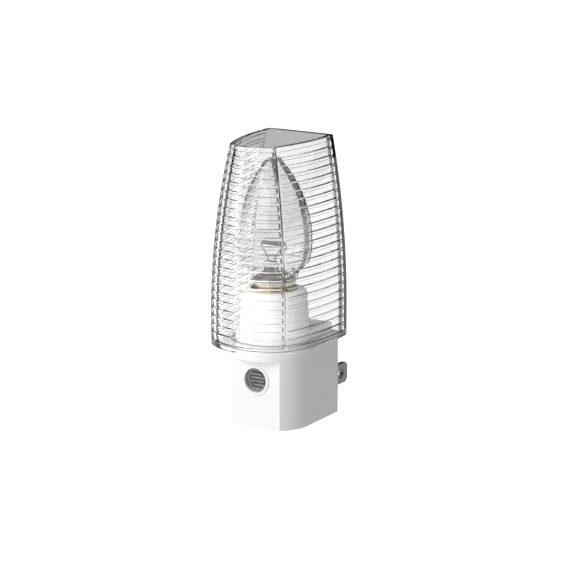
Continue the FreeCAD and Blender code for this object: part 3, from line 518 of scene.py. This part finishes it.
def opening_ring(level):
    """The edge of the opening that slips over the column's neck, in line with the outline's points."""
    back = -(BACK_GAP + SHADE_WALL)
    middle = Vector((0.0, (back - OPENING_STRAIGHT) / 2))
    ring = []
    for point, _ in shade_outline(level, SHADE_WALL, INNER_ROUND):
        way = (point - middle).normalized()
        reach = OPENING_HALF / max(abs(way.x), NEARLY_NOTHING)
        if way.y > 0:
            reach = min(reach, (back - middle.y) / way.y)
        if middle.y + way.y * reach < -OPENING_STRAIGHT:
            above = middle.y + OPENING_STRAIGHT
            reach = math.sqrt(OPENING_HALF ** 2 - (above * way.x) ** 2) - above * way.y
        edge = middle + way * reach
        ring.append((edge.x, edge.y, level))
    return ring


def shade_rings():
    """Rings of the whole skin: down the inside, through the opening, up the outside."""
    floor_top = SEAT + SHADE_FLOOR
    lid_foot = SHADE_TOP - SHADE_LID
    levels = [floor_top] + spread(floor_top, lid_foot, INNER_ROWS) + [lid_foot]
    inner = [inner_ring(level) for level in reversed(levels)]
    opening = [opening_ring(floor_top), opening_ring(SEAT)]
    outer = [outer_ring(level, drawn_in) for level, drawn_in in outer_rows()]
    return inner + opening + outer


def ring_mesh(name, rings):
    """A closed mesh through rings of equal count, with a flat cap on the first and last."""
    mesh = bpy.data.meshes.new(name)
    form = bmesh.new()
    rows = [[form.verts.new(Vector(point) * MM) for point in ring] for ring in rings]
    for lower, upper in zip(rows, rows[1:]):
        for index in range(len(lower)):
            following = (index + 1) % len(lower)
            form.faces.new((lower[index], lower[following], upper[following], upper[index]))
    form.faces.new(rows[0])
    form.faces.new(rows[-1])
    bmesh.ops.remove_doubles(form, verts=form.verts, dist=SMALLEST_EDGE * MM)
    bmesh.ops.recalc_face_normals(form, faces=form.faces)
    form.to_mesh(mesh)
    form.free()
    mesh.shade_smooth()
    mesh.set_sharp_from_angle(angle=math.radians(SHARP_ANGLE))
    return mesh


def add_shade():
    """The clear shade with finely rounded grooves, in place of its plainer solid."""
    mesh = ring_mesh("shade_clear", shade_rings())
    mesh.materials.append(clear("clear_acrylic", 0.985, PLASTIC_REFRACTION, 0.005, SHADE_RIPPLE_SCALE))
    shade = bpy.data.objects.new("shade_clear", mesh)
    bpy.context.collection.objects.link(shade)
    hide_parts("shade")
    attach(shade, "shade")


# Room

def calculation(tree, operation, first, second, clamped=False):
    """One sum on two inputs, each a number or another node's output."""
    node = tree.nodes.new("ShaderNodeMath")
    node.operation = operation
    node.use_clamp = clamped
    for socket, value in zip(node.inputs, (first, second)):
        if isinstance(value, (int, float)):
            socket.default_value = value
        else:
            tree.links.new(value, socket)
    return node.outputs["Value"]


def painted_dark_sector(tree):
    """Mask of painted shade: 1 in a sector of the floor behind the light, 0 elsewhere, with soft sides.
    """
    place = tree.nodes.new("ShaderNodeTexCoord")
    split = tree.nodes.new("ShaderNodeSeparateXYZ")
    tree.links.new(place.outputs["Object"], split.inputs["Vector"])
    left = calculation(tree, "MULTIPLY", split.outputs["X"], -1.0)
    bearing = calculation(tree, "ARCTAN2", left, split.outputs["Y"])
    softness = math.radians(SECTOR_SOFTNESS)
    start, end = (math.radians(side) for side in PAINTED_DARK_SECTOR)
    past_start = calculation(tree, "SUBTRACT", bearing, start)
    before_end = calculation(tree, "SUBTRACT", end, bearing)
    nearer = calculation(tree, "MINIMUM", past_start, before_end)
    return calculation(tree, "DIVIDE", nearer, softness, clamped=True)


def floor_material():
    """White floor that keeps shadows. Its dark sector is painted shade of an unlit room and shows only
    through and in the pieces.
    """
    material, tree, shader = new_material("floor_white")
    shader.inputs["Roughness"].default_value = FLOOR_ROUGHNESS
    shader.inputs["Specular IOR Level"].default_value = 0.0
    path = tree.nodes.new("ShaderNodeLightPath")
    viewer = path.outputs["Is Camera Ray"]
    reflected = path.outputs["Is Glossy Ray"]
    indirect = calculation(tree, "ADD", reflected, path.outputs["Is Transmission Ray"], clamped=True)
    hidden = calculation(tree, "SUBTRACT", 1.0, viewer)
    # Painted shade: in its sector the floor turns dark and stops glowing, except to the viewer's own eye
    dark = calculation(tree, "MULTIPLY", painted_dark_sector(tree), hidden)
    light = calculation(tree, "SUBTRACT", 1.0, dark)
    colour = ramp(tree, light, grey(FLOOR_PAINTED_DARK), grey(FLOOR_WHITE), 0.0, 1.0)
    tree.links.new(colour, shader.inputs["Base Color"])
    glow_seen = calculation(tree, "MULTIPLY", viewer, FLOOR_GLOW)
    glow_in_glass = calculation(tree, "MULTIPLY", indirect, FLOOR_GLOW_IN_GLASS)
    glow = calculation(tree, "MULTIPLY", calculation(tree, "MAXIMUM", glow_seen, glow_in_glass), light)
    shader.inputs["Emission Color"].default_value = grey(1.0)
    tree.links.new(glow, shader.inputs["Emission Strength"])
    return material


def add_floor():
    mesh = bpy.data.meshes.new("floor")
    half = FLOOR_HALF
    drop = cad_box[0][2] - FLOOR_DROP
    corners = [(-half, -half, drop), (half, -half, drop), (half, half, drop), (-half, half, drop)]
    mesh.from_pydata(corners, [], [(0, 1, 2, 3)])
    floor = bpy.data.objects.new("floor", mesh)
    bpy.context.collection.objects.link(floor)
    mesh.materials.append(floor_material())


def add_sky():
    """A dim room that is lighter overhead than at the light's own height."""
    world = bpy.data.worlds.new("room")
    world.use_nodes = True
    bpy.context.scene.world = world
    tree = world.node_tree
    background = tree.nodes["Background"]
    place = tree.nodes.new("ShaderNodeTexCoord")
    split = tree.nodes.new("ShaderNodeSeparateXYZ")
    tree.links.new(place.outputs["Generated"], split.inputs["Vector"])
    shade_of_sky = ramp(tree, split.outputs["Z"], grey(SKY_LOW), grey(SKY_HIGH), *SKY_RISE)
    tree.links.new(shade_of_sky, background.inputs["Color"])
    background.inputs["Strength"].default_value = 1.0


def add_softbox(name, azimuth, elevation, share, width, height):
    """A soft rectangular lamp that adds share of a plain white level to a face that looks at it."""
    back, _ = view_directions(azimuth, elevation)
    light = bpy.data.lights.new(name, "AREA")
    light.shape = "RECTANGLE"
    light.size = width
    light.size_y = height
    light.energy = share * math.pi ** 2 * LIGHT_DISTANCE ** 2
    lamp = bpy.data.objects.new(name, light)
    lamp.location = Vector(LIGHT_TARGET) + back * LIGHT_DISTANCE
    lamp.rotation_euler = (-back).to_track_quat("-Z", "Y").to_euler()
    bpy.context.collection.objects.link(lamp)


def add_room():
    add_floor()
    add_sky()
    add_softbox("front_softbox", azimuth=-5, elevation=25, share=0.62, width=0.9, height=0.7)
    add_softbox("left_softbox", azimuth=-52, elevation=20, share=0.42, width=0.35, height=0.9)
    bpy.context.scene.view_settings.view_transform = "Standard"


add_camera()
add_room()
paint_nodes()
add_shade()
